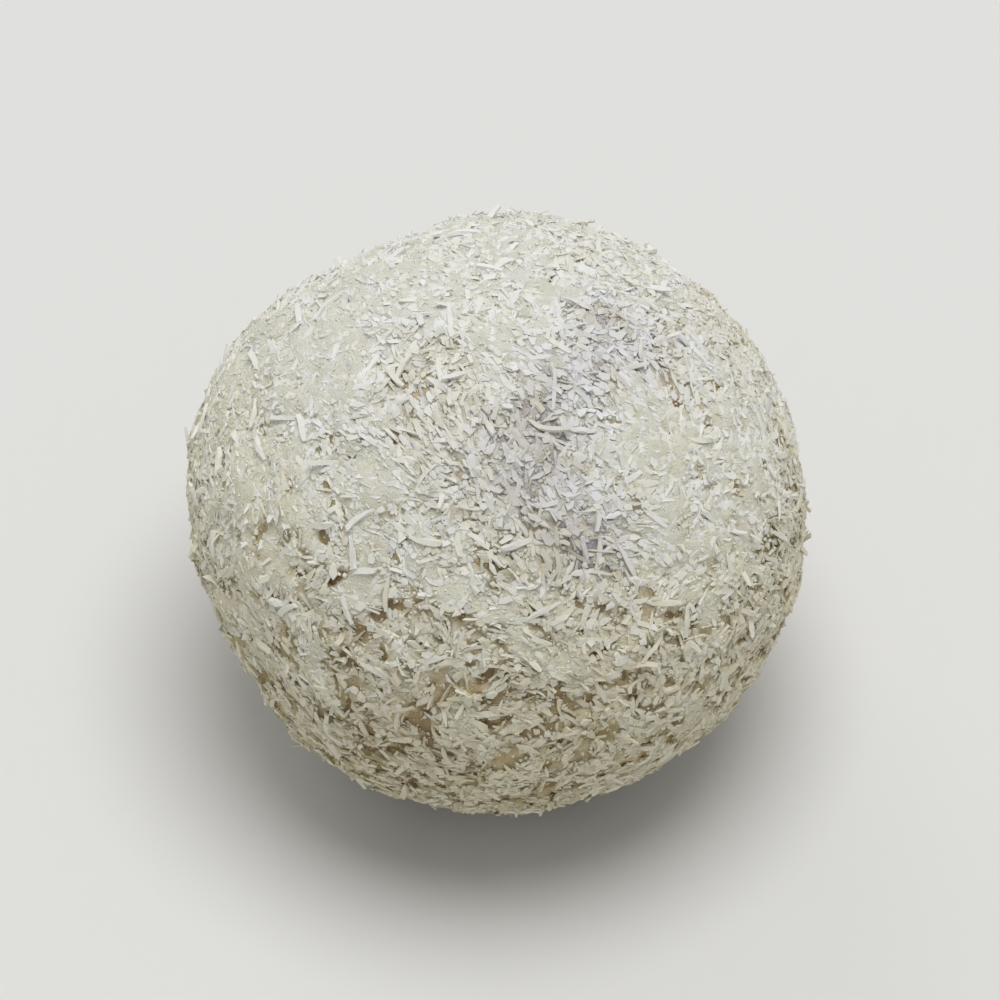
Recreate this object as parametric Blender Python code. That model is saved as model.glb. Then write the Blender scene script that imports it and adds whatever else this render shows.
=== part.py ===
"""A date coconut ball: a hand-rolled ball of date paste in a coat of fine desiccated coconut.

Units are metres and +Z is up. The origin is the middle of the small flat spot on which the ball rests.
The ball is one solid: a slightly uneven core with a grainy skin, and the largest shreds of coconut
fused to it. The reference shows it from the front and above, so the side shown there faces -Y and +Z.
"""

import math

import bmesh
import bpy
import numpy as np
from mathutils import Matrix, Vector

MM = 0.001
NODE_NAME = "date_coconut_ball"

# Driving dimensions
BALL_DIAMETER = 36.6 * MM  # over the coat, leaving out the shreds that stand proud
FOOT_RADIUS = 6.0 * MM  # the flat spot that the soft ball makes by its own weight
SHRED_LAYER = 0.25 * MM  # how deep the skin between the shreds lies below the outside of the coat

# What follows from them
BALL_RADIUS = BALL_DIAMETER / 2
SKIN_RADIUS = BALL_RADIUS - SHRED_LAYER
CENTRE_HEIGHT = math.sqrt(BALL_RADIUS**2 - FOOT_RADIUS**2)

# The dents and swells that the reference shows: (direction, height, width in radians)
KNOWN_SWELLS = (
    ((0.10, 0.76, 0.65), -1.18 * MM, 0.72),  # flattened towards the back of the top
    ((-0.47, 0.68, 0.57), -1.35 * MM, 0.38),  # flat to the left of that
    ((0.82, 0.44, 0.37), -0.55 * MM, 0.42),  # and a little so to the right
    ((-0.96, 0.20, 0.17), 0.30 * MM, 0.50),  # full left shoulder
    ((-0.89, -0.35, -0.29), -0.35 * MM, 0.32),  # dent below it
    ((1.00, -0.07, -0.06), -0.19 * MM, 0.40),  # shallow dent in the right flank
    ((-0.37, -0.71, -0.60), 0.23 * MM, 0.35),  # full lower left
)

# Unevenness of the hand-rolled ball elsewhere: broad, low swells and hollows
SWELL_SEED = 11
SWELL_COUNT = 26
SWELL_HEIGHT = 0.22 * MM
SWELL_WIDTHS = (0.35, 0.75)  # radians

# The skin between the shreds, with a low bump or pit at each corner of its triangles
SKIN_SUBDIVISIONS = 3
SKIN_CUTS = 1  # turns each triangle of the icosphere into four
GRAIN_SEED = 23
GRAIN_HEIGHT = 0.2 * MM
GRAIN_SHIFT = 0.6 * MM  # sideways, so that the corners lie in no rows

# The largest shreds, which lie all over the ball
SHRED_SEED = 37
SHRED_COUNT = 286
SHRED_LENGTHS = (1.9 * MM, 3.6 * MM)
SHRED_WIDTHS = (0.50 * MM, 0.75 * MM)
SHRED_THICKNESSES = (0.50 * MM, 0.70 * MM)
SHRED_LIFT = 0.1 * MM  # the middle of a shred above the skin
SHRED_TILT = math.radians(5.5)  # standard deviation of the slope along a shred
SHRED_ROLL = math.radians(14)  # standard deviation of the turn about its own length
STANDING_SHARE = 0.14  # of them, shreds of which one end stands off the ball
STANDING_SLOPES = (math.radians(14), math.radians(28))
SHRED_TIP_SCALE = 0.6  # width and thickness of the tips, as a share of the middle
SPREAD_JITTER = 0.45  # moves a shred from its even place, as a share of the spacing

# Flakes that stand off the edge in the reference:
# (direction, the way the flake runs, lift off the skin, slope in degrees, length, width, thickness)
STANDING_FLAKES = (
    ((-0.985, 0.133, 0.112), (0.15, 0.75, 0.65), 0.45 * MM, 18, 2.5 * MM, 0.9 * MM, 0.45 * MM),
    ((0.840, 0.417, 0.350), (0.80, 0.45, 0.40), 0.10 * MM, 40, 1.9 * MM, 0.7 * MM, 0.4 * MM),
    ((0.705, 0.543, 0.456), (-0.50, 0.65, 0.55), 0.10 * MM, 28, 1.8 * MM, 0.6 * MM, 0.4 * MM),
    ((0.130, 0.760, 0.637), (1.00, 0.10, 0.20), 0.15 * MM, 32, 1.9 * MM, 0.7 * MM, 0.4 * MM),
)

GOLDEN_ANGLE = math.pi * (3 - math.sqrt(5))


def clear_scene():
    for obj in list(bpy.data.objects):
        bpy.data.objects.remove(obj, do_unlink=True)


def make_collection(name):
    collection = bpy.data.collections.new(name)
    bpy.context.scene.collection.children.link(collection)
    return collection


def coconut_material():
    """Ivory-white desiccated coconut, matt."""
    material = bpy.data.materials.new("coconut_coat")
    material.use_nodes = True
    shader = material.node_tree.nodes["Principled BSDF"]
    shader.inputs["Base Color"].default_value = (0.76, 0.74, 0.65, 1.0)
    shader.inputs["Roughness"].default_value = 0.8
    shader.inputs["Metallic"].default_value = 0.0
    return material


def unit(vectors):
    return vectors / np.linalg.norm(vectors, axis=-1, keepdims=True)


def even_directions(count, rng):
    """Unit vectors spread evenly over the sphere, each moved a little at random."""
    index = np.arange(count)
    height = 1 - (2 * index + 1) / count
    turn = index * GOLDEN_ANGLE
    ring = np.sqrt(1 - height**2)
    even = np.stack([ring * np.cos(turn), ring * np.sin(turn), height], axis=1)
    spacing = math.sqrt(4 * math.pi / count)
    return unit(even + rng.normal(0, SPREAD_JITTER * spacing, even.shape))


def swells():
    """(directions, heights, widths) of all broad swells and hollows."""
    rng = np.random.default_rng(SWELL_SEED)
    directions = even_directions(SWELL_COUNT, rng)
    heights = rng.uniform(-SWELL_HEIGHT, SWELL_HEIGHT, SWELL_COUNT)
    widths = rng.uniform(*SWELL_WIDTHS, SWELL_COUNT)
    known_directions, known_heights, known_widths = zip(*KNOWN_SWELLS)
    return (
        np.concatenate([directions, unit(np.array(known_directions))]),
        np.append(heights, known_heights),
        np.append(widths, known_widths),
    )


def skin_radius(directions):
    """Radius of the uneven ball, without its grains, along each unit direction."""
    centres, heights, widths = swells()
    angles = np.arccos(np.clip(directions @ centres.T, -1, 1))
    return SKIN_RADIUS + (np.exp(-((angles / widths) ** 2)) * heights).sum(axis=1)


def make_core(collection, material):
    """The ball without its shreds: an icosphere moved out to the uneven skin."""
    bm = bmesh.new()
    bmesh.ops.create_icosphere(bm, subdivisions=SKIN_SUBDIVISIONS, radius=1)
    bmesh.ops.subdivide_edges(bm, edges=bm.edges[:], cuts=SKIN_CUTS, use_grid_fill=True)
    bmesh.ops.triangulate(bm, faces=bm.faces[:])
    directions = unit(np.array([vert.co for vert in bm.verts]))
    rng = np.random.default_rng(GRAIN_SEED)
    grains = rng.uniform(-GRAIN_HEIGHT, GRAIN_HEIGHT, len(directions))
    shifts = rng.uniform(-GRAIN_SHIFT, GRAIN_SHIFT, directions.shape)
    directions = unit(directions + shifts / SKIN_RADIUS)
    radii = skin_radius(directions) + grains
    for vert, direction, radius in zip(bm.verts, directions, radii):
        vert.co = Vector(direction) * radius + Vector((0, 0, CENTRE_HEIGHT))
    mesh = bpy.data.meshes.new(NODE_NAME)
    bm.to_mesh(mesh)
    bm.free()
    mesh.materials.append(material)
    core = bpy.data.objects.new(NODE_NAME, mesh)
    collection.objects.link(core)
    return core


def make_shred(collection, direction, along, radius, tilt, roll, size):
    """A bar that narrows to its tips and bends with the ball, from a cube cut across its middle."""
    length, width, thickness = size
    bm = bmesh.new()
    bmesh.ops.create_cube(bm, size=1)
    bmesh.ops.bisect_plane(
        bm,
        geom=bm.verts[:] + bm.edges[:] + bm.faces[:],
        plane_co=(0, 0, 0),
        plane_no=(1, 0, 0),
    )
    for vert in bm.verts:
        scale = 1 - (1 - SHRED_TIP_SCALE) * abs(2 * vert.co.x)
        reach = vert.co.x * length
        sag = reach**2 / BALL_DIAMETER  # bends with the ball
        vert.co = Vector((reach, vert.co.y * scale * width, vert.co.z * scale * thickness - sag))
    mesh = bpy.data.meshes.new("shred")
    bm.to_mesh(mesh)
    bm.free()

    # X runs along the shred, Y across it and Z out of the ball
    across = direction.cross(along).normalized()
    lie = Matrix((across.cross(direction), across, direction)).transposed()
    turn = Matrix.Rotation(tilt, 3, "Y") @ Matrix.Rotation(roll, 3, "X")
    place = direction * radius + Vector((0, 0, CENTRE_HEIGHT))
    shred = bpy.data.objects.new("shred", mesh)
    shred.matrix_world = Matrix.Translation(place) @ (lie @ turn).to_4x4()
    collection.objects.link(shred)


def make_lying_shreds(collection):
    rng = np.random.default_rng(SHRED_SEED)
    directions = even_directions(SHRED_COUNT, rng)
    alongs = rng.normal(size=(SHRED_COUNT, 3))
    radii = skin_radius(directions) + SHRED_LIFT
    tilts = rng.normal(0, SHRED_TILT, SHRED_COUNT)
    standing = rng.uniform(0, 1, SHRED_COUNT) < STANDING_SHARE
    tilts[standing] = rng.uniform(*STANDING_SLOPES, np.count_nonzero(standing))
    rolls = rng.normal(0, SHRED_ROLL, SHRED_COUNT)
    shortest, longest = SHRED_LENGTHS
    lengths = rng.triangular(shortest, shortest, longest, SHRED_COUNT)
    widths = rng.uniform(*SHRED_WIDTHS, SHRED_COUNT)
    thicknesses = rng.uniform(*SHRED_THICKNESSES, SHRED_COUNT)
    sizes = np.stack([lengths, widths, thicknesses], axis=1)
    for direction, along, radius, tilt, roll, size in zip(directions, alongs, radii, tilts, rolls, sizes):
        make_shred(collection, Vector(direction), Vector(along), radius, tilt, roll, size)


def make_standing_flakes(collection):
    for direction, along, lift, slope, *size in STANDING_FLAKES:
        direction = Vector(direction).normalized()
        radius = skin_radius(np.array([direction]))[0] + lift
        make_shred(collection, direction, Vector(along), radius, -math.radians(slope), 0.0, size)


def cut_foot(bm):
    """Cuts the ball off at z = 0 and closes it with one flat face."""
    cut = bmesh.ops.bisect_plane(
        bm,
        geom=bm.verts[:] + bm.edges[:] + bm.faces[:],
        plane_co=(0, 0, 0),
        plane_no=(0, 0, 1),
        clear_inner=True,
    )
    rim = [item for item in cut["geom_cut"] if isinstance(item, bmesh.types.BMEdge)]
    bmesh.ops.holes_fill(bm, edges=rim)


def keep_largest_piece(bm):
    """Drops loose scraps and the walls of hollows that the union seals."""
    unseen = set(bm.verts)
    pieces = []
    while unseen:
        piece = set()
        front = [next(iter(unseen))]
        while front:
            vert = front.pop()
            if vert not in piece:
                piece.add(vert)
                front += [edge.other_vert(vert) for edge in vert.link_edges]
        unseen -= piece
        pieces.append(piece)
    pieces.sort(key=len)
    for piece in pieces[:-1]:
        bmesh.ops.delete(bm, geom=list(piece), context="VERTS")


def fuse(core, shreds):
    """Joins the shreds to the core with one union, applies it, and removes the shreds."""
    union = core.modifiers.new("shreds", "BOOLEAN")
    union.operation = "UNION"
    union.operand_type = "COLLECTION"
    union.collection = shreds
    union.solver = "EXACT"
    graph = bpy.context.evaluated_depsgraph_get()
    fused = bpy.data.meshes.new_from_object(core.evaluated_get(graph), depsgraph=graph)
    core.modifiers.remove(union)
    for shred in list(shreds.objects):
        bpy.data.objects.remove(shred, do_unlink=True)
    bpy.data.collections.remove(shreds)

    bm = bmesh.new()
    bm.from_mesh(fused)
    cut_foot(bm)
    keep_largest_piece(bm)
    bmesh.ops.triangulate(bm, faces=bm.faces[:])
    bm.to_mesh(fused)
    bm.free()
    core.data = fused
    core.data.name = NODE_NAME


def main():
    clear_scene()
    ball = make_collection("date_coconut_ball_parts")
    shreds = make_collection("shreds")
    core = make_core(ball, coconut_material())
    make_lying_shreds(shreds)
    make_standing_flakes(shreds)
    fuse(core, shreds)


main()
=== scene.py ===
"""Looks of the date coconut ball: sticky date paste in a hand-rolled coat of fine desiccated coconut.

The solid of the frame is replaced, in the same form, by a core of date paste, the bed of coconut meal
pressed into it, and the coat itself as separate shreds, slivers, flakes, grains and dust of coconut.
Units are metres and +Z is up. The camera looks along +Y and down, as in the reference.
"""

import math
from collections import namedtuple

import bmesh
import bpy
import numpy as np
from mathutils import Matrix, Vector


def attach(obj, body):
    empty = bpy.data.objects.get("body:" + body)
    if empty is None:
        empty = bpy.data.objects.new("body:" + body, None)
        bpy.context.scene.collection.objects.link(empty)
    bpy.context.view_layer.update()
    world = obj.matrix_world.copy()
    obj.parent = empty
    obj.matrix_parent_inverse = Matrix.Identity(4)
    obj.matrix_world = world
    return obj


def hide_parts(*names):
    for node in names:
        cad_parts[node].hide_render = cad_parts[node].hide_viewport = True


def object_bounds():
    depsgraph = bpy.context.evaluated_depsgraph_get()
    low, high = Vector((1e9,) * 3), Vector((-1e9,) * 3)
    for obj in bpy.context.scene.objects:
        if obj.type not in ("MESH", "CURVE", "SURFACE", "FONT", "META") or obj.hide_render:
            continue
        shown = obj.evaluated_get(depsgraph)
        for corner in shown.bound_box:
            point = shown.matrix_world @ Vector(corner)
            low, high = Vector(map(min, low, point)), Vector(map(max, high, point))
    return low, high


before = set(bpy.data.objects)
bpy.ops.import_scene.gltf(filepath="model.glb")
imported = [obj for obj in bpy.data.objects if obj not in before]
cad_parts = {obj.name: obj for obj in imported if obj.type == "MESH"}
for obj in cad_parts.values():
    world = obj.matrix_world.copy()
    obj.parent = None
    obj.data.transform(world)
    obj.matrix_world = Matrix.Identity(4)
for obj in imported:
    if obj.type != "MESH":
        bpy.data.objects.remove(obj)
cad_low, cad_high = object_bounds()

MM = 0.001
NODE = "date_coconut_ball"
BODY = "root"

# ---------------------------------------------------------------------------------------------
# Form of the ball, as in the solid
# ---------------------------------------------------------------------------------------------
BALL_DIAMETER = 36.6 * MM
FOOT_RADIUS = 6.0 * MM
SHRED_LAYER = 0.25 * MM
BALL_RADIUS = BALL_DIAMETER / 2
SKIN_RADIUS = BALL_RADIUS - SHRED_LAYER
CENTRE_HEIGHT = math.sqrt(BALL_RADIUS**2 - FOOT_RADIUS**2)

KNOWN_SWELLS = (
    ((0.10, 0.76, 0.65), -1.18 * MM, 0.72),
    ((-0.47, 0.68, 0.57), -1.35 * MM, 0.38),
    ((0.82, 0.44, 0.37), -0.55 * MM, 0.42),
    ((-0.96, 0.20, 0.17), 0.30 * MM, 0.50),
    ((-0.89, -0.35, -0.29), -0.35 * MM, 0.32),
    ((1.00, -0.07, -0.06), -0.19 * MM, 0.40),
    ((-0.37, -0.71, -0.60), 0.23 * MM, 0.35),
)
SWELL_SEED = 11
SWELL_COUNT = 26
SWELL_HEIGHT = 0.22 * MM
SWELL_WIDTHS = (0.35, 0.75)

SHRED_SEED = 37
SHRED_COUNT = 286
SHRED_LENGTHS = (1.9 * MM, 3.6 * MM)
SHRED_WIDTHS = (0.50 * MM, 0.75 * MM)
SHRED_THICKNESSES = (0.50 * MM, 0.70 * MM)
SHRED_LIFT = 0.1 * MM
SHRED_TILT = math.radians(5.5)
SHRED_ROLL = math.radians(14)
STANDING_SHARE = 0.14
STANDING_SLOPES = (math.radians(14), math.radians(28))
# (direction, the way the flake runs, lift off the skin, slope in degrees, length, width, thickness)
STANDING_FLAKES = (
    ((-0.985, 0.133, 0.112), (0.15, 0.75, 0.65), 0.45 * MM, 18, 2.5 * MM, 0.9 * MM, 0.45 * MM),
    ((0.840, 0.417, 0.350), (0.80, 0.45, 0.40), 0.10 * MM, 40, 1.9 * MM, 0.7 * MM, 0.4 * MM),
    ((0.705, 0.543, 0.456), (-0.50, 0.65, 0.55), 0.10 * MM, 28, 1.8 * MM, 0.6 * MM, 0.4 * MM),
    ((0.130, 0.760, 0.637), (1.00, 0.10, 0.20), 0.15 * MM, 32, 1.9 * MM, 0.7 * MM, 0.4 * MM),
)

# ---------------------------------------------------------------------------------------------
# View of the reference
# ---------------------------------------------------------------------------------------------
VIEW_ELEVATION = math.radians(50)
VIEW_DISTANCE = 0.9
BALL_SHARE = 0.62  # of the picture's width
CAMERA_CLIP = (0.05, 100)

# ---------------------------------------------------------------------------------------------
# Directions, noise and the skin under the shreds
# ---------------------------------------------------------------------------------------------
GOLDEN_ANGLE = math.pi * (3 - math.sqrt(5))
SPREAD_JITTER = 0.45  # in distances between neighbours
NOISE_VALUES = 4096
NOISE_PRIMES = (73856093, 19349663, 83492791)  # they set neighbouring corners far apart in the table


def unit(vectors):
    return vectors / np.linalg.norm(vectors, axis=-1, keepdims=True)


def even_directions(count, rng, jitter=SPREAD_JITTER):
    """Unit vectors spread evenly over the sphere, each moved a little at random."""
    index = np.arange(count)
    height = 1 - (2 * index + 1) / count
    turn = index * GOLDEN_ANGLE
    ring = np.sqrt(1 - height**2)
    even = np.stack([ring * np.cos(turn), ring * np.sin(turn), height], axis=1)
    spacing = math.sqrt(4 * math.pi / count)
    return unit(even + rng.normal(0, jitter * spacing, even.shape))


def swells():
    """(directions, heights, widths) of all broad swells and hollows."""
    rng = np.random.default_rng(SWELL_SEED)
    directions = even_directions(SWELL_COUNT, rng)
    heights = rng.uniform(-SWELL_HEIGHT, SWELL_HEIGHT, SWELL_COUNT)
    widths = rng.uniform(*SWELL_WIDTHS, SWELL_COUNT)
    known_directions, known_heights, known_widths = zip(*KNOWN_SWELLS)
    return (
        np.concatenate([directions, unit(np.array(known_directions))]),
        np.append(heights, known_heights),
        np.append(widths, known_widths),
    )


SWELLS = swells()


def bumps(directions, centres, heights, widths):
    """Sum of round bumps on the ball at each of the directions."""
    angles = np.arccos(np.clip(directions @ centres.T, -1, 1))
    return (np.exp(-((angles / widths) ** 2)) * heights).sum(axis=1)


def lattice_noise(points, cell, seed):
    """Smooth noise from -1 to 1 at each of the points, with features the size of a cell."""
    table = np.random.default_rng(seed).uniform(-1, 1, NOISE_VALUES)
    scaled = points / cell
    corner = np.floor(scaled).astype(np.int64)
    part = scaled - corner
    part = part * part * (3 - 2 * part)
    total = np.zeros(len(points))
    for dx in (0, 1):
        for dy in (0, 1):
            for dz in (0, 1):
                x, y, z = ((corner + (dx, dy, dz)) * NOISE_PRIMES).T
                weight = np.abs(1 - dx - part[:, 0]) * np.abs(1 - dy - part[:, 1])
                weight *= np.abs(1 - dz - part[:, 2])
                total += table[(x ^ y ^ z) % NOISE_VALUES] * weight
    return total


def skin_radius(directions):
    return SKIN_RADIUS + bumps(directions, *SWELLS)


WAY_SIZE = 4 * MM  # how far apart the ways differ
WAY_PULL = 2.2  # how much the pieces follow them
WAY_LEAN = np.array((-0.7, 0.5, 0.5))  # on the whole they run this way
WAY_SEEDS = (21, 22, 23)


def strand_ways(directions):
    """The way that the strands of coconut tend to run, which drifts over the ball."""
    drift = [lattice_noise(directions * BALL_RADIUS, WAY_SIZE, seed) for seed in WAY_SEEDS]
    return WAY_PULL * np.stack(drift, axis=1) + WAY_LEAN


def seen_direction(right, up):
    """Direction of the point of the ball that the reference shows there, in radii from its middle."""
    out = math.sqrt(max(0.0, 1 - right**2 - up**2))
    rise, fall = math.sin(VIEW_ELEVATION), math.cos(VIEW_ELEVATION)
    return (right, up * rise - out * fall, up * fall + out * rise)


# ---------------------------------------------------------------------------------------------
# The coat: how thick it lies, from 0 for bare paste to 1 for a closed bed
# ---------------------------------------------------------------------------------------------
# (right, up, change of cover, width in radians), as the reference shows
KNOWN_COVER = (
    (0.05, 0.16, -0.40, 0.15),
    (0.27, -0.11, -0.40, 0.15),
    (0.38, 0.54, -0.32, 0.18),
    (0.20, 0.36, -0.15, 0.20),
    (-0.35, -0.55, -0.06, 0.35),
    (0.10, -0.68, -0.06, 0.42),
    (0.45, -0.50, -0.08, 0.28),
    (-0.65, 0.60, 0.40, 0.35),
    (-0.43, 0.04, 0.30, 0.25),
    (0.73, 0.00, 0.45, 0.30),
    (-0.10, 0.78, 0.25, 0.30),
)
# (right, up, width) of the patches where a thin veil of meal makes the date paste look lavender-grey
KNOWN_VEILS = (
    (0.05, 0.13, 0.16),
    (0.30, -0.13, 0.16),
    (0.16, 0.00, 0.12),
    (0.38, 0.54, 0.20),
    (0.20, 0.36, 0.14),
)
VEIL_SEED = 73
VEIL_COUNT = 16
VEIL_WIDTHS = (0.12, 0.24)
VEIL_COSINE = 0.1  # the random ones keep to the side that the reference doesn't show
# (right, up) of the small dark pits that the reference shows
KNOWN_PITS = (
    (-0.77, -0.11),
    (-0.144, 0.128),
    (-0.57, -0.115),
    (-0.53, -0.255),
    (-0.27, -0.29),
    (-0.39, -0.38),
    (0.575, 0.318),
    (0.385, 0.48),
    (-0.05, -0.575),
    (-0.12, -0.37),
)
COVER_MEAN = 0.64
COVER_SEED = 71
COVER_COUNT = 90
COVER_CHANGES = (-0.12, 0.30)
COVER_WIDTHS = (0.10, 0.34)
KNOWN_REACH = 0.35  # within this angle of a known patch
KNOWN_SHARE = 0.3  # the random ones change the cover by this share only
# Patchiness on top of that, a few grains across: (size, change of cover)
COVER_MOTTLES = ((2.8 * MM, 0.26), (1.4 * MM, 0.30), (0.8 * MM, 0.14))
PIT_SEED = 72
PIT_COUNT = 3000
PIT_JITTER = 1.0
PIT_CHANCES = (0.15, 1.0)  # a pit is left out where the coat is closed more than such a random value
PIT_WIDTHS = (0.20 * MM, 0.40 * MM)
PIT_STRETCHES = (1.3, 2.8)
PIT_STRENGTHS = (0.6, 1.0)
PIT_REACH = 2  # lengths from its middle
KNOWN_PIT_STRENGTH = 1.6  # deeper, so that they show at the top too
PIT_DEPTHS = (0.4, 1.08)  # share of the full depth at the top and down the flanks
PIT_FLANK_SHARE = 0.42  # more of them down the flanks
PIT_FLANK_SIZE = 1.35  # and larger ones


def cover_patches():
    """(directions, changes of cover, widths) of all patches where the coat lies thinner or thicker."""
    rng = np.random.default_rng(COVER_SEED)
    directions = even_directions(COVER_COUNT, rng)
    changes = rng.uniform(*COVER_CHANGES, COVER_COUNT)
    widths = rng.uniform(*COVER_WIDTHS, COVER_COUNT)
    known = np.array([seen_direction(right, up) for right, up, _, _ in KNOWN_COVER])
    nearness = (directions @ known.T).max(axis=1)
    changes[nearness > math.cos(KNOWN_REACH)] *= KNOWN_SHARE
    return (
        np.concatenate([directions, known]),
        np.append(changes, [change for _, _, change, _ in KNOWN_COVER]),
        np.append(widths, [width for _, _, _, width in KNOWN_COVER]),
    )


def pits():
    """(directions, the ways they run, widths, lengths, strengths) of the small gaps in the coat."""
    rng = np.random.default_rng(PIT_SEED)
    directions = even_directions(PIT_COUNT, rng, PIT_JITTER)
    closed = cover(directions) - PIT_FLANK_SHARE * toward_flanks(directions)
    directions = directions[rng.uniform(*PIT_CHANCES, PIT_COUNT) > closed]
    known = np.array([seen_direction(right, up) for right, up in KNOWN_PITS])
    directions = np.concatenate([known, directions])
    count = len(directions)
    alongs = rng.normal(size=(count, 3)) + strand_ways(directions)
    alongs = unit(alongs - (alongs * directions).sum(axis=1, keepdims=True) * directions)
    widths = rng.uniform(*PIT_WIDTHS, count) * (1 + (PIT_FLANK_SIZE - 1) * toward_flanks(directions))
    lengths = widths * rng.uniform(*PIT_STRETCHES, count)
    strengths = rng.uniform(*PIT_STRENGTHS, count)
    strengths[: len(known)] = KNOWN_PIT_STRENGTH
    return directions, alongs, widths, lengths, strengths


def veils():
    """(directions, widths) of all lavender-grey patches."""
    rng = np.random.default_rng(VEIL_SEED)
    directions = even_directions(VEIL_COUNT, rng)
    widths = rng.uniform(*VEIL_WIDTHS, VEIL_COUNT)
    hidden = directions @ np.array(seen_direction(0, 0)) < VEIL_COSINE
    known = np.array([seen_direction(right, up) for right, up, _ in KNOWN_VEILS])
    return (
        np.concatenate([directions[hidden], known]),
        np.append(widths[hidden], [width for _, _, width in KNOWN_VEILS]),
    )


def veil(directions):
    """1 where the paste is lavender-grey under a veil of meal, 0 where it is brown."""
    centres, widths = VEILS
    return np.clip(bumps(directions, centres, 1.0, widths), 0, 1)


def pit_depth(directions):
    """1 in the middle of a pit, 0 away from all of them."""
    depths = np.zeros(len(directions))
    for centre, along, width, length, strength in zip(*PITS):
        near = np.flatnonzero(directions @ centre > math.cos(PIT_REACH * length / BALL_RADIUS))
        offsets = (directions[near] - centre) * BALL_RADIUS
        reach = (offsets @ along / length) ** 2 + (offsets @ np.cross(centre, along) / width) ** 2
        depths[near] = np.maximum(depths[near], strength * np.exp(-(reach**2)))
    shallow, full = PIT_DEPTHS
    return depths * (shallow + (full - shallow) * toward_flanks(directions))


def cover(directions):
    """How thick the coat lies, from 0 to 1."""
    total = COVER_MEAN + bumps(directions, *COVER_PATCHES)
    for seed, (cell, change) in enumerate(COVER_MOTTLES):
        total += change * lattice_noise(directions * BALL_RADIUS, cell, seed)
    return np.clip(total, 0.0, 1.0)


TOP_WAY = np.array((0.0, 0.15, 0.99))  # the top of the ball is this way, where the painted flank shade is least
TOP_HEIGHT = 0.87  # height on the unit ball that way above which a point counts as top, with no painted flank shade
FLANK_HEIGHT = -0.36  # and below which it counts as flank, with the full painted flank shade
FLANK_WAVER = 0.15  # how far the change from one to the other wanders up and down
FLANK_WAVER_SIZE = 5 * MM
FLANK_WAVER_SEED = 12


def toward_flanks(directions):
    """0 at the top, 1 down the flanks: painted shade and a painted warm bounce of light in the coat's
    colour, and more, larger and deeper pits.
    """
    waver = FLANK_WAVER * lattice_noise(directions * BALL_RADIUS, FLANK_WAVER_SIZE, FLANK_WAVER_SEED)
    height = directions @ TOP_WAY + waver
    return np.clip((TOP_HEIGHT - height) / (TOP_HEIGHT - FLANK_HEIGHT), 0, 1)


COVER_PATCHES = cover_patches()
PITS = pits()
VEILS = veils()


DATE_DEPTH = 0.24 * MM  # date paste below the skin
DATE_CLEARANCE = 0.04 * MM  # between the paste and the middles of the pieces that lie on it
BED_COVERS = (0.0, 0.25, 0.60, 1.0)
BED_HEIGHTS = (-0.42 * MM, -0.18 * MM, 0.0 * MM, 0.12 * MM)  # bed above the skin at these covers
PIT_SINK = 0.38 * MM  # how deep the bed sinks in a pit
PRESS_DEPTH = 0.14 * MM  # how much deeper the pieces are pressed into the bed
PRESS_COVERS = (0.62, 0.97)  # as the cover goes from one to the other
# The coat's own unevenness: (size, height)
CLODS = ((2.6 * MM, 0.28 * MM), (1.2 * MM, 0.20 * MM))
DATE_LUMPS = ((1.6 * MM, 0.08 * MM), (0.45 * MM, 0.05 * MM))
BED_GRAIN = ((0.50 * MM, 0.06 * MM), (0.26 * MM, 0.05 * MM))


def relief(directions, layers):
    """Uneven heights, the sum of noise layers of (size, height)."""
    points = directions * BALL_RADIUS
    return sum(height * lattice_noise(points, cell, int(cell / MM * 100)) for cell, height in layers)


def date_radius(directions):
    return skin_radius(directions) - DATE_DEPTH + relief(directions, DATE_LUMPS)


def bed_level(directions):
    rise = np.interp(cover(directions), BED_COVERS, BED_HEIGHTS)
    return skin_radius(directions) + rise + relief(directions, CLODS)


def bed_radius(directions):
    return bed_level(directions) + relief(directions, BED_GRAIN) - PIT_SINK * pit_depth(directions)


def lie_radius(directions):
    """Where the middles of the lowest pieces of the coat lie, deeper in the bed where it is thick."""
    pressed = PRESS_DEPTH * np.interp(cover(directions), PRESS_COVERS, (0, 1))
    return np.maximum(bed_level(directions) - pressed, date_radius(directions) + DATE_CLEARANCE)


# ---------------------------------------------------------------------------------------------
# Meshes
# ---------------------------------------------------------------------------------------------
FLOOR_GAP = 0.02 * MM  # between the lowest points of the coat and what it rests on
DATE_FLOOR_GAP = 0.3 * MM
PROUD = 0.3 * MM  # how far a shred may reach out of the box of the solid
FOOT_COSINE = CENTRE_HEIGHT / BALL_RADIUS
BED_CUTS = 23  # parts of each edge of the icosphere, less one
DATE_CUTS = 9


def settled(points):
    """Moves whole pieces, one row of points each, out of the floor and into the box of the solid."""
    low = np.array(cad_low) - PROUD
    high = np.array(cad_high) + PROUD
    low[2] = FLOOR_GAP
    points = points + np.maximum(0, low - points.min(axis=1))[:, None]
    return points - np.maximum(0, points.max(axis=1) - high)[:, None]


def add_piece(name, points, faces, material, smooth, layers):
    """One mesh object, with a named value for each of its points in every layer."""
    mesh = bpy.data.meshes.new(name)
    mesh.from_pydata(points.tolist(), [], faces)
    mesh.polygons.foreach_set("use_smooth", np.full(len(mesh.polygons), smooth))
    for layer_name, values in layers.items():
        layer = mesh.attributes.new(layer_name, "FLOAT", "POINT")
        layer.data.foreach_set("value", values.astype(np.float32))
    mesh.materials.append(material)
    mesh.update()
    piece = bpy.data.objects.new(name, mesh)
    bpy.context.scene.collection.objects.link(piece)
    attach(piece, BODY)
    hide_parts(NODE)


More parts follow.
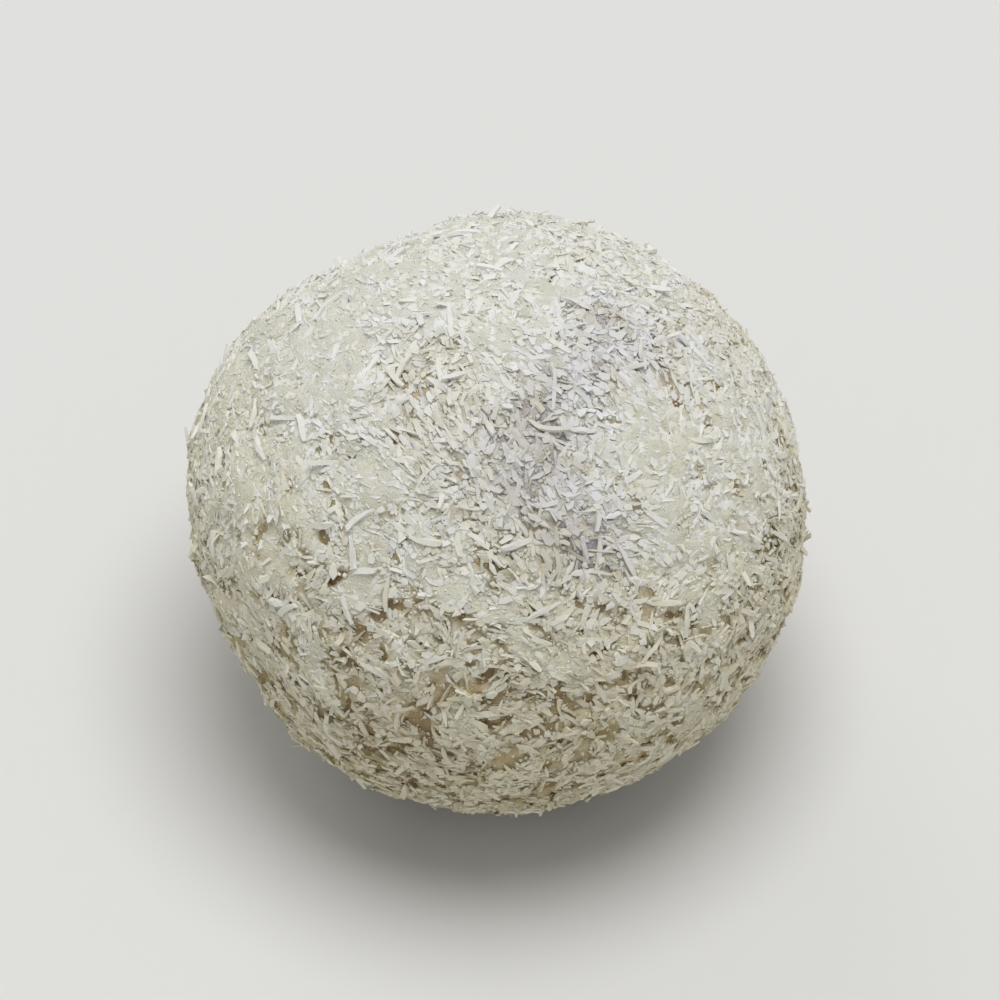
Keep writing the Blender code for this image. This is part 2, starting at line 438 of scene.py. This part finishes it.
def add_shell(name, cuts, radius_of, floor_gap, material, layers_of):
    """A closed ball at radius_of(direction), flat where it would reach into the floor."""
    bm = bmesh.new()
    bmesh.ops.create_icosphere(bm, subdivisions=3, radius=1)
    bmesh.ops.subdivide_edges(bm, edges=bm.edges[:], cuts=cuts, use_grid_fill=True)
    bmesh.ops.triangulate(bm, faces=bm.faces[:])
    bm.verts.index_update()
    directions = unit(np.array([vert.co for vert in bm.verts]))
    faces = [[vert.index for vert in face.verts] for face in bm.faces]
    bm.free()
    points = directions * radius_of(directions)[:, None]
    points[:, 2] = np.maximum(points[:, 2] + CENTRE_HEIGHT, floor_gap)
    add_piece(name, points, faces, material, True, layers_of(directions))


def placed(shapes, directions, alongs, radii, tilts, rolls):
    """Turns each shape, made round the origin, to lie on the ball: X along it and Z out of it."""
    across = unit(np.cross(directions, alongs))
    forward = np.cross(across, directions)
    x, y, z = np.moveaxis(shapes, -1, 0)
    sin_roll, cos_roll = np.sin(rolls)[:, None], np.cos(rolls)[:, None]
    y, z = cos_roll * y - sin_roll * z, sin_roll * y + cos_roll * z
    sin_tilt, cos_tilt = np.sin(tilts)[:, None], np.cos(tilts)[:, None]
    x, z = cos_tilt * x + sin_tilt * z, -sin_tilt * x + cos_tilt * z
    points = (
        x[..., None] * forward[:, None]
        + y[..., None] * across[:, None]
        + (z + radii[:, None])[..., None] * directions[:, None]
    )
    points[..., 2] += CENTRE_HEIGHT
    return points


def repeated(faces, verts_each, count):
    """The faces of one shape, for count shapes in a row."""
    return [[index + shape * verts_each for index in face] for shape in range(count) for face in faces]


def rod_faces(rings, sides):
    faces = []
    for ring in range(rings - 1):
        for side in range(sides):
            after = (side + 1) % sides
            low, high = ring * sides, (ring + 1) * sides
            faces.append([low + side, low + after, high + after, high + side])
    faces.append([side for side in range(sides)][::-1])
    faces.append([(rings - 1) * sides + side for side in range(sides)])
    return faces


BEND_CHANCES = (0.8, 0.2)  # of a slight and of a strong bend
ROD_RISE = 0.6  # a rod bends less out of the ball than along it
ROD_TAPER = 2.5  # how suddenly it narrows at its tips
ROD_TWIST = 0.6
ROD_SLANT = 0.5  # of its broken ends


def rod_shapes(rng, sizes, rings, sides, bend, ragged, tips):
    """Bent, uneven rods of the sizes (length, width, thickness), one row of points each."""
    count = len(sizes)
    lengths, widths, thicknesses = sizes.T[:, :, None]
    along = np.linspace(-1, 1, rings)
    around = 2 * math.pi * (np.arange(sides) + 0.5) / sides
    half = lengths / 2
    bends = rng.normal(0, 1, (3, count, 1)) * rng.choice(bend, (1, count, 1), p=BEND_CHANCES)
    # A bow and an S, less the shift and the turn of the whole rod that they would bring
    bow, wave = along**2 - 0.33, along**3 - 0.6 * along
    x = half * along
    y = half * (bends[0] * bow + bends[1] * wave)
    z = half * ROD_RISE * bends[2] * bow - x**2 / BALL_DIAMETER
    tip_sizes = rng.uniform(*tips, (2, count, 1))
    tip = np.where(along < 0, tip_sizes[0], tip_sizes[1])
    girth = tip + (1 - tip) * (1 - np.abs(along) ** ROD_TAPER)
    girth = girth * (1 + rng.normal(0, ragged, (count, rings)))
    uneven = girth[..., None] * (1 + rng.normal(0, ragged, (count, rings, sides)))
    angles = around + rng.normal(0, ROD_TWIST, (count, 1, 1)) * along[:, None]
    out_y = widths[..., None] / 2 * uneven * np.cos(angles)
    out_z = thicknesses[..., None] / 2 * uneven * np.sin(angles)
    slant = rng.normal(0, ROD_SLANT, (2, count, 1))
    shift = np.where(along == -1, slant[0], np.where(along == 1, slant[1], 0))
    shapes = np.stack(
        [x[..., None] + shift[..., None] * out_y, y[..., None] + out_y, z[..., None] + out_z], axis=-1
    )
    return shapes.reshape(count, rings * sides, 3)


FLAKE_CORNERS = 5
FLAKE_JITTER = 0.3  # of the angle of a corner
FLAKE_REACHES = (0.62, 1.15)  # of a corner from the middle
FLAKE_UNDERSIDE = 0.92  # as wide as its top
FLAKE_CROWN = 0.6  # height of its middle, in thicknesses


def flake_faces():
    corners = FLAKE_CORNERS
    top, under, middle = list(range(corners)), list(range(corners, 2 * corners)), 2 * corners
    faces = [[middle, side, (side + 1) % corners] for side in top]
    faces.append(under[::-1])
    for side in range(corners):
        after = (side + 1) % corners
        faces.append([under[side], under[after], top[after], top[side]])
    return faces


def flake_shapes(rng, sizes, curl):
    """Thin chips with a broken outline, a little curled."""
    count = len(sizes)
    lengths, widths, thicknesses = sizes.T[:, :, None]
    jitter = rng.uniform(-FLAKE_JITTER, FLAKE_JITTER, (count, FLAKE_CORNERS))
    angles = 2 * math.pi * (np.arange(FLAKE_CORNERS) + jitter) / FLAKE_CORNERS
    reach = rng.uniform(*FLAKE_REACHES, (count, FLAKE_CORNERS))
    x = lengths / 2 * reach * np.cos(angles)
    y = widths / 2 * reach * np.sin(angles)
    curls = rng.normal(0, curl, (count, 1))
    z = curls * (x**2 + y**2) / (lengths / 2)
    top = np.stack([x, y, z + thicknesses / 2], axis=-1)
    under = np.stack([x * FLAKE_UNDERSIDE, y * FLAKE_UNDERSIDE, z - thicknesses / 2], axis=-1)
    middle = np.zeros((count, 1, 3))
    middle[:, 0, 2] = thicknesses[:, 0] * FLAKE_CROWN
    return np.concatenate([top, under, middle], axis=1)


# An octahedron: its corners, and its faces turned outwards
GRAIN_CORNERS = np.array([(1, 0, 0), (-1, 0, 0), (0, 1, 0), (0, -1, 0), (0, 0, 1), (0, 0, -1)])
GRAIN_FACES = [
    [a, b, c] if (a + b + c) % 2 == 0 else [a, c, b] for a in (0, 1) for b in (2, 3) for c in (4, 5)
]


def grain_shapes(rng, sizes, ragged):
    """Uneven eight-sided grains."""
    uneven = GRAIN_CORNERS + rng.normal(0, ragged, (len(sizes), *GRAIN_CORNERS.shape))
    return uneven * sizes[:, None] / 2


SPREAD_SPARE = 1.9  # places tried for each piece that is wanted
PIECE_JITTER = 0.6


def spread(rng, count, keep_thin, keep_thick, in_pits=False):
    """Directions spread over the ball but for its foot.

    The chance to keep one goes from keep_thin where the coat lies thin to keep_thick where it lies
    thick, and it is less in a pit unless in_pits is true.
    """
    directions = even_directions(int(count * SPREAD_SPARE), rng, PIECE_JITTER)
    chance = keep_thin + (keep_thick - keep_thin) * cover(directions)
    if not in_pits:
        chance -= pit_depth(directions)
    kept = (rng.uniform(0, 1, len(directions)) < chance) & (directions[:, 2] > -FOOT_COSINE)
    return rng.permutation(directions[kept])[:count]


UPRIGHT_SLOPES = (0.4, 0.9)  # of the loose pieces that stand up
# Each point's depth, from these heights, sets the painted shade in the gaps: darker and warmer lower
# down
# Heights over the level where the pieces lie: the floor of a pit, between the pieces, the top of them
DEPTH_HEIGHTS = (-0.40 * MM, -0.05 * MM, 0.14 * MM)
DEPTHS = (2, 1, 0)
# The bed counts as lying between the pieces, and deeper in the pits, for that painted shade
BED_DEPTH = 1
BED_TINT = 0.5
FLANK_SHADE_SPREAD = 0.15  # how much the pieces in one place differ in their painted flank shade
# How the pieces of one kind lie: heights over the level of the bed, spread of their tilts and rolls,
# share of them that stand up, and whether they lie in the pits too
Lie = namedtuple("Lie", "lifts tilt roll upright_share in_pits", defaults=(0.0, False))


def scatter(
    name, material, rng, directions, shapes, faces, lie, fixed=None, tints=(0, 1), smooth=False
):
    """Lays the shapes on the ball at random, after the fixed ones, and adds them as one piece."""
    count = len(directions)
    alongs = rng.normal(size=(count, 3)) + strand_ways(directions)
    tilts = rng.normal(0, lie.tilt, count)
    upright = rng.uniform(0, 1, count) < lie.upright_share
    tilts[upright] = rng.uniform(*UPRIGHT_SLOPES, np.count_nonzero(upright))
    rolls = rng.normal(0, lie.roll, count)
    if lie.in_pits:
        level = np.maximum(bed_radius(directions), date_radius(directions))
    else:
        level = lie_radius(directions)
    radii = level + rng.uniform(*lie.lifts, count)
    points = placed(shapes, directions, alongs, radii, tilts, rolls)
    if fixed is not None:
        fixed_points, fixed_directions = fixed
        points = np.concatenate([fixed_points, points])
        directions = np.concatenate([fixed_directions, directions])
        count = len(directions)
    points = settled(points)
    each = points.shape[1]
    middle = np.array((0, 0, CENTRE_HEIGHT))
    heights = np.linalg.norm(points - middle, axis=2) - lie_radius(directions)[:, None]
    # The depth of each point and how far down the flanks its piece lies set painted shade in the
    # material
    layers = {
        "depth": np.interp(heights, DEPTH_HEIGHTS, DEPTHS).ravel(),
        "tint": np.repeat(rng.uniform(*tints, count), each),
        "cover": np.repeat(cover(directions), each),
        "toward_flanks": np.repeat(
            np.clip(toward_flanks(directions) + rng.normal(0, FLANK_SHADE_SPREAD, count), 0, 1), each
        ),
        "veil": np.repeat(veil(directions), each),
    }
    add_piece(name, points.reshape(-1, 3), repeated(faces, each, count), material, smooth, layers)


COMMON_LENGTH = 0.3  # from the shortest, 0, to the longest, 1


def sizes_between(rng, count, lengths, widths, thicknesses):
    """(length, width, thickness) of each piece, more of them short than long."""
    shortest, longest = lengths
    return np.stack(
        [
            rng.triangular(shortest, shortest + COMMON_LENGTH * (longest - shortest), longest, count),
            rng.uniform(*widths, count),
            rng.uniform(*thicknesses, count),
        ],
        axis=1,
    )


# ---------------------------------------------------------------------------------------------
# Materials
# ---------------------------------------------------------------------------------------------
def new_material(name):
    material = bpy.data.materials.new(name)
    material.use_nodes = True
    tree = material.node_tree
    return material, tree, tree.nodes["Principled BSDF"]


def noise_node(tree, feature, detail, roughness=0.6):
    """Noise from 0 to 1 with features of that size."""
    coordinates = tree.nodes.new("ShaderNodeTexCoord")
    noise = tree.nodes.new("ShaderNodeTexNoise")
    noise.inputs["Scale"].default_value = 1 / feature
    noise.inputs["Detail"].default_value = detail
    noise.inputs["Roughness"].default_value = roughness
    tree.links.new(coordinates.outputs["Object"], noise.inputs["Vector"])
    return noise.outputs["Fac"]


def ramp_node(tree, source, stops):
    """The colour that the stops (place, colour) give for the source."""
    ramp = tree.nodes.new("ShaderNodeValToRGB")
    elements = ramp.color_ramp.elements
    while len(elements) < len(stops):
        elements.new(0.5)
    for element, (place, colour) in zip(elements, stops):
        element.position = place
        element.color = (*colour, 1)
    tree.links.new(source, ramp.inputs["Fac"])
    return ramp.outputs["Color"]


def add_bump(tree, shader, height, strength, distance):
    bump = tree.nodes.new("ShaderNodeBump")
    bump.inputs["Strength"].default_value = strength
    bump.inputs["Distance"].default_value = distance
    tree.links.new(height, bump.inputs["Height"])
    tree.links.new(bump.outputs["Normal"], shader.inputs["Normal"])


def mix_node(tree, factor, first, second, blend="MIX"):
    mix = tree.nodes.new("ShaderNodeMix")
    mix.data_type = "RGBA"
    mix.blend_type = blend
    colour_a, colour_b = [s for s in mix.inputs if s.type == "RGBA"]
    if isinstance(factor, float):
        mix.inputs[0].default_value = factor
    else:
        tree.links.new(factor, mix.inputs[0])
    for socket, value in ((colour_a, first), (colour_b, second)):
        if isinstance(value, tuple):
            socket.default_value = (*value, 1)
        else:
            tree.links.new(value, socket)
    return [s for s in mix.outputs if s.type == "RGBA"][0]


def multiplied(tree, *colours):
    product = colours[0]
    for colour in colours[1:]:
        product = mix_node(tree, 1.0, product, colour, "MULTIPLY")
    return product


def attribute_node(tree, name):
    node = tree.nodes.new("ShaderNodeAttribute")
    node.attribute_name = name
    return node.outputs["Fac"]


def half_node(tree, source):
    half = tree.nodes.new("ShaderNodeMath")
    half.operation = "MULTIPLY"
    half.inputs[1].default_value = 0.5
    tree.links.new(source, half.inputs[0])
    return half.outputs[0]


# (place, colour) along each of the values that the pieces carry
TINT_STOPS = ((0.00, (0.86, 0.855, 0.84)), (0.25, (0.93, 0.93, 0.925)), (1.00, (1.00, 1.00, 1.00)))
# Painted shade and a painted warm bounce of light: the coat darker and yellower down the flanks
PAINTED_FLANK_SHADE_STOPS = (
    (0.0, (0.835, 0.842, 0.848)),
    (0.45, (0.835, 0.828, 0.77)),
    (0.7, (0.77, 0.745, 0.645)),
    (1.0, (0.755, 0.718, 0.583)),
)
COVER_STOPS = ((0.0, (0.84, 0.80, 0.71)), (0.4, (0.93, 0.91, 0.87)), (0.8, (1, 1, 1)))
# Painted shade: darker and warmer down in the gaps and pits, standing in for shadow and for light
# through the coconut
PAINTED_GAP_SHADE_STOPS = ((0.0, (1, 1, 1)), (0.5, (0.995, 0.984, 0.900)), (1.0, (0.85, 0.705, 0.48)))
PATCH_SIZE = 1.0 * MM
PATCH_STOPS = ((0.35, (0.95, 0.935, 0.88)), (0.62, (1, 1, 1)))
VEIL_TINT = (0.93, 0.935, 1.0)


def coconut_material(name, crumb, feature, bump_height):
    """Off-white coconut, mottled in the crumb colour at the size of the feature.

    It carries painted shade: lightest at the top of the ball and of the coat, darker and warmer down
    the flanks with a painted warm bounce of light, and down in the gaps, where it stands in for shadow
    and light through the coconut. It is also warmer where the coat lies thin. Under a veil it is a
    little lavender.
    """
    material, tree, shader = new_material(name)
    by_tint = ramp_node(tree, attribute_node(tree, "tint"), TINT_STOPS)
    patches = ramp_node(tree, noise_node(tree, PATCH_SIZE, detail=2.0), PATCH_STOPS)
    mottles = noise_node(tree, feature, detail=3.0, roughness=0.7)
    crumbs = ramp_node(tree, mottles, ((0.38, crumb), (0.58, (1, 1, 1))))
    # Painted shade and a painted warm bounce of light down the flanks
    painted_flank_shade = ramp_node(tree, attribute_node(tree, "toward_flanks"), PAINTED_FLANK_SHADE_STOPS)
    by_cover = ramp_node(tree, attribute_node(tree, "cover"), COVER_STOPS)
    # Painted shade down in the gaps
    painted_gap_shade = ramp_node(tree, half_node(tree, attribute_node(tree, "depth")), PAINTED_GAP_SHADE_STOPS)
    by_veil = mix_node(tree, attribute_node(tree, "veil"), (1.0, 1.0, 1.0), VEIL_TINT)
    colour = multiplied(tree, by_tint, patches, crumbs, painted_flank_shade, by_cover, painted_gap_shade, by_veil)
    tree.links.new(colour, shader.inputs["Base Color"])
    shader.inputs["Roughness"].default_value = 0.7
    shader.inputs["Specular IOR Level"].default_value = 0.25
    grain = noise_node(tree, feature, detail=4.0, roughness=0.7)
    add_bump(tree, shader, grain, strength=1.0, distance=bump_height)
    return material


PASTE_SIZE = 1.1 * MM  # of its patches of colour
PASTE_GRAIN = 0.3 * MM
DUSTING_SIZE = 0.22 * MM
PASTE_STOPS = ((0.30, (0.13, 0.080, 0.035)), (0.52, (0.25, 0.17, 0.075)), (0.72, (0.38, 0.275, 0.125)))
VEILED_PASTE = (0.22, 0.20, 0.225)
DUST_COLOUR = (0.52, 0.43, 0.27)
VEILED_DUST = (0.50, 0.48, 0.53)
DUSTING_STOPS = ((0.32, (0, 0, 0)), (0.48, (1, 1, 1)))
BARE_STOPS = ((0.15, (1, 1, 1)), (0.60, (0.12, 0.12, 0.12)))  # share of the dusting left in a pit


def date_material():
    """Dark date paste, dusted with meal: lavender-grey under a veil, else brown, and bare in pits."""
    material, tree, shader = new_material("date_paste")
    paste = ramp_node(tree, noise_node(tree, PASTE_SIZE, detail=5.0), PASTE_STOPS)
    dusting = ramp_node(tree, noise_node(tree, DUSTING_SIZE, detail=6.0, roughness=0.7), DUSTING_STOPS)
    dusting = multiplied(tree, dusting, ramp_node(tree, attribute_node(tree, "pit"), BARE_STOPS))
    dust = mix_node(tree, attribute_node(tree, "veil"), DUST_COLOUR, VEILED_DUST)
    paste = mix_node(tree, attribute_node(tree, "veil"), paste, VEILED_PASTE)
    tree.links.new(mix_node(tree, dusting, paste, dust), shader.inputs["Base Color"])
    shader.inputs["Roughness"].default_value = 0.45
    shader.inputs["Specular IOR Level"].default_value = 0.4
    grain = noise_node(tree, PASTE_GRAIN, detail=5.0, roughness=0.65)
    add_bump(tree, shader, grain, strength=0.8, distance=0.15 * MM)
    return material


def plain_material(name, colour, roughness):
    material, _, shader = new_material(name)
    shader.inputs["Base Color"].default_value = (*colour, 1)
    shader.inputs["Roughness"].default_value = roughness
    return material


# ---------------------------------------------------------------------------------------------
# The ball
# ---------------------------------------------------------------------------------------------
SLIMMER = (0.8, 0.75, 0.55)  # than in the solid, in length, width and thickness
SHRED_RINGS = 5
SHRED_SIDES = 4
SLIVER_RINGS = 3
SLIVER_SIDES = 3


def solid_shreds(rng):
    """The shreds that the solid has, in the same places, a little slimmer."""
    draw = np.random.default_rng(SHRED_SEED)
    directions = even_directions(SHRED_COUNT, draw)
    alongs = draw.normal(size=(SHRED_COUNT, 3))
    radii = skin_radius(directions) + SHRED_LIFT
    tilts = draw.normal(0, SHRED_TILT, SHRED_COUNT)
    standing = draw.uniform(0, 1, SHRED_COUNT) < STANDING_SHARE
    tilts[standing] = draw.uniform(*STANDING_SLOPES, np.count_nonzero(standing))
    rolls = draw.normal(0, SHRED_ROLL, SHRED_COUNT)
    shortest, longest = SHRED_LENGTHS
    lengths = draw.triangular(shortest, shortest, longest, SHRED_COUNT)
    widths = draw.uniform(*SHRED_WIDTHS, SHRED_COUNT)
    thicknesses = draw.uniform(*SHRED_THICKNESSES, SHRED_COUNT)
    sizes = np.stack([lengths, widths, thicknesses], axis=1)

    flakes = np.array([(*where, *along, *rest) for where, along, *rest in STANDING_FLAKES])
    where, along, lift, slope, size = np.split(flakes, (3, 6, 7, 8), axis=1)
    where = unit(where)
    directions = np.concatenate([directions, where])
    alongs = np.concatenate([alongs, along])
    radii = np.append(radii, skin_radius(where) + lift[:, 0])
    tilts = np.append(tilts, -np.radians(slope[:, 0]))
    rolls = np.append(rolls, np.zeros(len(flakes)))
    sizes = np.concatenate([sizes, size])

    above_foot = directions[:, 2] > -FOOT_COSINE
    rod = {"bend": (0.05, 0.12), "ragged": 0.10, "tips": (0.4, 0.9)}
    shapes = rod_shapes(rng, sizes * SLIMMER, SHRED_RINGS, SHRED_SIDES, **rod)
    points = placed(shapes, directions, alongs, radii, tilts, rolls)
    return points[above_foot], directions[above_foot]


def make_shreds(material):
    rng = np.random.default_rng(seed=101)
    fixed = solid_shreds(rng)
    directions = spread(rng, count=2100, keep_thin=0.9, keep_thick=0.5)
    sizes = sizes_between(
        rng,
        len(directions),
        lengths=(1.0 * MM, 2.4 * MM),
        widths=(0.32 * MM, 0.58 * MM),
        thicknesses=(0.12 * MM, 0.22 * MM),
    )
    rod = {"bend": (0.06, 0.2), "ragged": 0.12, "tips": (0.3, 1.0)}
    shapes = rod_shapes(rng, sizes, SHRED_RINGS, SHRED_SIDES, **rod)
    faces = rod_faces(SHRED_RINGS, SHRED_SIDES)
    lie = Lie(lifts=(-0.03 * MM, 0.08 * MM), tilt=0.08, roll=0.3, upright_share=0.06)
    scatter("coconut_shreds", material, rng, directions, shapes, faces, lie, fixed, tints=(0.5, 1))


def make_slivers(material):
    rng = np.random.default_rng(seed=102)
    directions = spread(rng, count=9500, keep_thin=0.8, keep_thick=0.8)
    sizes = sizes_between(
        rng,
        len(directions),
        lengths=(0.6 * MM, 1.9 * MM),
        widths=(0.26 * MM, 0.50 * MM),
        thicknesses=(0.14 * MM, 0.28 * MM),
    )
    rod = {"bend": (0.1, 0.25), "ragged": 0.16, "tips": (0.35, 1.0)}
    shapes = rod_shapes(rng, sizes, SLIVER_RINGS, SLIVER_SIDES, **rod)
    faces = rod_faces(SLIVER_RINGS, SLIVER_SIDES)
    lie = Lie(lifts=(-0.04 * MM, 0.06 * MM), tilt=0.12, roll=0.8, upright_share=0.02)
    scatter("coconut_slivers", material, rng, directions, shapes, faces, lie)


def make_flakes(material):
    rng = np.random.default_rng(seed=103)
    directions = spread(rng, count=9000, keep_thin=0.5, keep_thick=0.85)
    sizes = sizes_between(
        rng,
        len(directions),
        lengths=(0.45 * MM, 1.30 * MM),
        widths=(0.32 * MM, 0.66 * MM),
        thicknesses=(0.13 * MM, 0.28 * MM),
    )
    shapes = flake_shapes(rng, sizes, curl=0.12)
    lie = Lie(lifts=(-0.04 * MM, 0.05 * MM), tilt=0.15, roll=0.15)
    scatter("coconut_flakes", material, rng, directions, shapes, flake_faces(), lie)


def make_grains(material):
    rng = np.random.default_rng(seed=104)
    directions = spread(rng, count=22000, keep_thin=0.4, keep_thick=1.0)
    sizes = sizes_between(
        rng,
        len(directions),
        lengths=(0.22 * MM, 0.7 * MM),
        widths=(0.2 * MM, 0.5 * MM),
        thicknesses=(0.16 * MM, 0.32 * MM),
    )
    shapes = grain_shapes(rng, sizes, ragged=0.18)
    lie = Lie(lifts=(-0.05 * MM, 0.05 * MM), tilt=0.3, roll=0.3)
    scatter("coconut_grains", material, rng, directions, shapes, GRAIN_FACES, lie, smooth=True)


def make_dust(material):
    rng = np.random.default_rng(seed=105)
    directions = spread(rng, count=22000, keep_thin=1.0, keep_thick=0.7, in_pits=True)
    sizes = sizes_between(
        rng,
        len(directions),
        lengths=(0.12 * MM, 0.28 * MM),
        widths=(0.10 * MM, 0.22 * MM),
        thicknesses=(0.08 * MM, 0.16 * MM),
    )
    shapes = grain_shapes(rng, sizes, ragged=0.2)
    lie = Lie(lifts=(-0.02 * MM, 0.05 * MM), tilt=0.6, roll=0.6, in_pits=True)
    scatter("coconut_dust", material, rng, directions, shapes, GRAIN_FACES, lie)


def make_ball():
    meal = coconut_material(
        "coconut_meal", crumb=(0.95, 0.94, 0.90), feature=0.18 * MM, bump_height=0.16 * MM
    )
    shred = coconut_material(
        "coconut_shred", crumb=(0.98, 0.978, 0.97), feature=0.14 * MM, bump_height=0.035 * MM
    )
    add_shell(
        "date_paste",
        DATE_CUTS,
        date_radius,
        DATE_FLOOR_GAP,
        date_material(),
        lambda directions: {"pit": pit_depth(directions), "veil": veil(directions)},
    )
    add_shell(
        "coconut_bed",
        BED_CUTS,
        bed_radius,
        FLOOR_GAP,
        meal,
        lambda directions: {
            "tint": np.full(len(directions), BED_TINT),
            # Depth and how far down the flanks set painted shade in the material
            "depth": BED_DEPTH + pit_depth(directions),
            "cover": cover(directions),
            "toward_flanks": toward_flanks(directions),
            "veil": veil(directions),
        },
    )
    make_shreds(shred)
    make_slivers(shred)
    make_flakes(shred)
    make_grains(shred)
    make_dust(shred)


# ---------------------------------------------------------------------------------------------
# Camera, light and floor
# ---------------------------------------------------------------------------------------------
def aim(obj, target):
    obj.rotation_euler = (Vector(target) - obj.location).to_track_quat("-Z", "Y").to_euler()


def make_camera():
    camera = bpy.data.cameras.new("camera")
    picture_width = BALL_DIAMETER / BALL_SHARE
    camera.lens = camera.sensor_width * VIEW_DISTANCE / picture_width
    camera.clip_start, camera.clip_end = CAMERA_CLIP
    obj = bpy.data.objects.new("camera", camera)
    bpy.context.scene.collection.objects.link(obj)
    middle = Vector((0, 0, CENTRE_HEIGHT))
    back = Vector((0, -math.cos(VIEW_ELEVATION), math.sin(VIEW_ELEVATION)))
    obj.location = middle + back * VIEW_DISTANCE
    aim(obj, middle)
    bpy.context.scene.camera = obj


LIGHT_DISTANCE = 5.0
LIGHT_SIZE = 0.65  # of its distance
LIGHT_COLOUR = (1.0, 0.998, 0.98)
# (name, the way from the ball, energy in watts)
SOFTBOXES = (
    ("softbox", (0.06, -0.01, 0.78), 169),
    ("rim_softbox", (-0.3, 0.58, 0.42), 34),
)
WORLD_COLOUR = (0.95, 0.95, 0.945)
WORLD_STRENGTH = 0.38


def add_softbox(name, way, energy):
    """A round softbox that way from the ball."""
    light = bpy.data.lights.new(name, "AREA")
    light.shape = "DISK"
    light.size = LIGHT_SIZE * LIGHT_DISTANCE
    light.energy = energy
    light.color = LIGHT_COLOUR
    obj = bpy.data.objects.new(name, light)
    bpy.context.scene.collection.objects.link(obj)
    obj.location = Vector(way).normalized() * LIGHT_DISTANCE
    aim(obj, (0, 0, CENTRE_HEIGHT))


def make_light():
    for softbox in SOFTBOXES:
        add_softbox(*softbox)
    world = bpy.data.worlds.new("studio")
    bpy.context.scene.world = world
    world.use_nodes = True
    background = world.node_tree.nodes["Background"]
    background.inputs["Color"].default_value = (*WORLD_COLOUR, 1)
    background.inputs["Strength"].default_value = WORLD_STRENGTH


FLOOR_RADIUS = 2.2
FLAT_RADIUS = 1.0  # the floor sweeps up outside it, so that low views show no edge
SWEEP_HEIGHT = 0.45
FLOOR_RINGS = 24
FLOOR_SIDES = 64
FLOOR_COLOUR = (0.70, 0.70, 0.695)
FLOOR_ROUGHNESS = 0.9


def make_floor():
    """A round pale floor, flat under and around the ball."""
    around = 2 * math.pi * np.arange(FLOOR_SIDES) / FLOOR_SIDES
    radii = np.linspace(0, FLOOR_RADIUS, FLOOR_RINGS + 1)[1:]
    rise = np.maximum(0, radii - FLAT_RADIUS) / (FLOOR_RADIUS - FLAT_RADIUS)
    points = np.stack(
        [
            np.outer(radii, np.cos(around)),
            np.outer(radii, np.sin(around)),
            np.outer(SWEEP_HEIGHT * rise**2, np.ones(FLOOR_SIDES)),
        ],
        axis=-1,
    )
    open_faces = rod_faces(FLOOR_RINGS, FLOOR_SIDES)[:-1]
    mesh = bpy.data.meshes.new("floor")
    mesh.from_pydata(points.reshape(-1, 3).tolist(), [], [face[::-1] for face in open_faces])
    mesh.polygons.foreach_set("use_smooth", np.full(len(mesh.polygons), True))
    mesh.materials.append(plain_material("floor", FLOOR_COLOUR, FLOOR_ROUGHNESS))
    floor = bpy.data.objects.new("floor", mesh)
    bpy.context.scene.collection.objects.link(floor)


make_camera()
make_light()
make_floor()
make_ball()
bpy.context.scene.view_settings.view_transform = "Standard"
